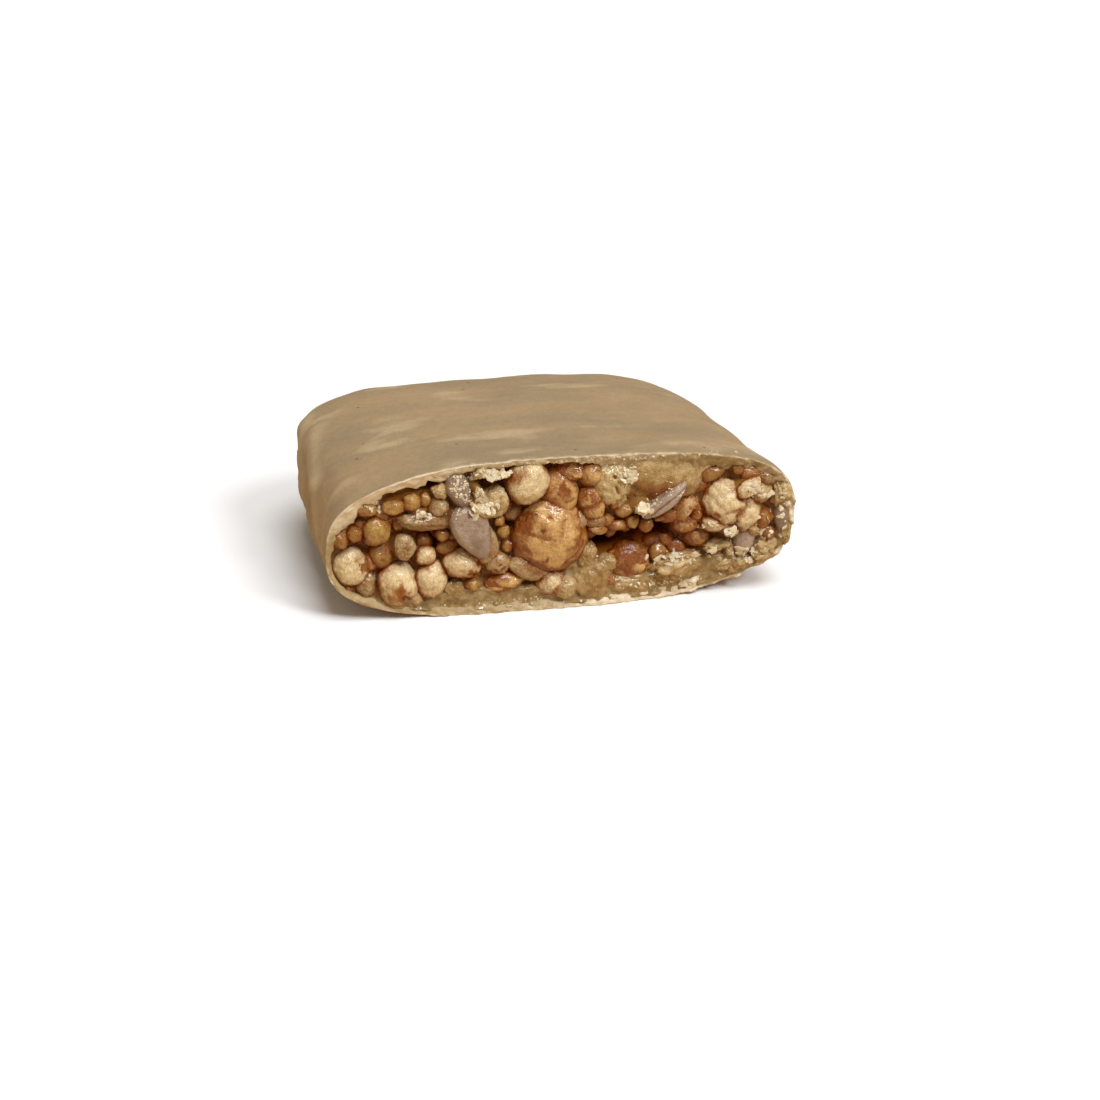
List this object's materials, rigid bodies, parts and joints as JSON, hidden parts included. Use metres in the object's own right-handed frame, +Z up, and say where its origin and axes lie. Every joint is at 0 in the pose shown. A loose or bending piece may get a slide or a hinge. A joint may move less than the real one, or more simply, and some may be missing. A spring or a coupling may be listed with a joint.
{
  "type": "granola bar",
  "caption": "Half of a coated puffed-grain bar, broken across so that its filling of puffs, beads and seeds shows, lying on its flat underside.",
  "frame": {"origin": "on the flat underside, below the middle of the bar, halfway between the break and the rounded end", "axes": "+Z up, +X across the bar, +Y along it from the break to the rounded end"},
  "size_m": [0.044, 0.0332, 0.0151],
  "materials": {
    "coating": "Waxy beige confectionery coating with soft tan and grey-green mottling and a faint sheen; matte plastic stands in for the food.",
    "granola": "Puffed grains, beads and seeds in a glossy syrup, from cream white to caramel brown; gloss plastic stands in for the food."
  },
  "bodies": {
    "root": {"coating": "coating", "granola": "granola"}
  },
  "joints": []
}
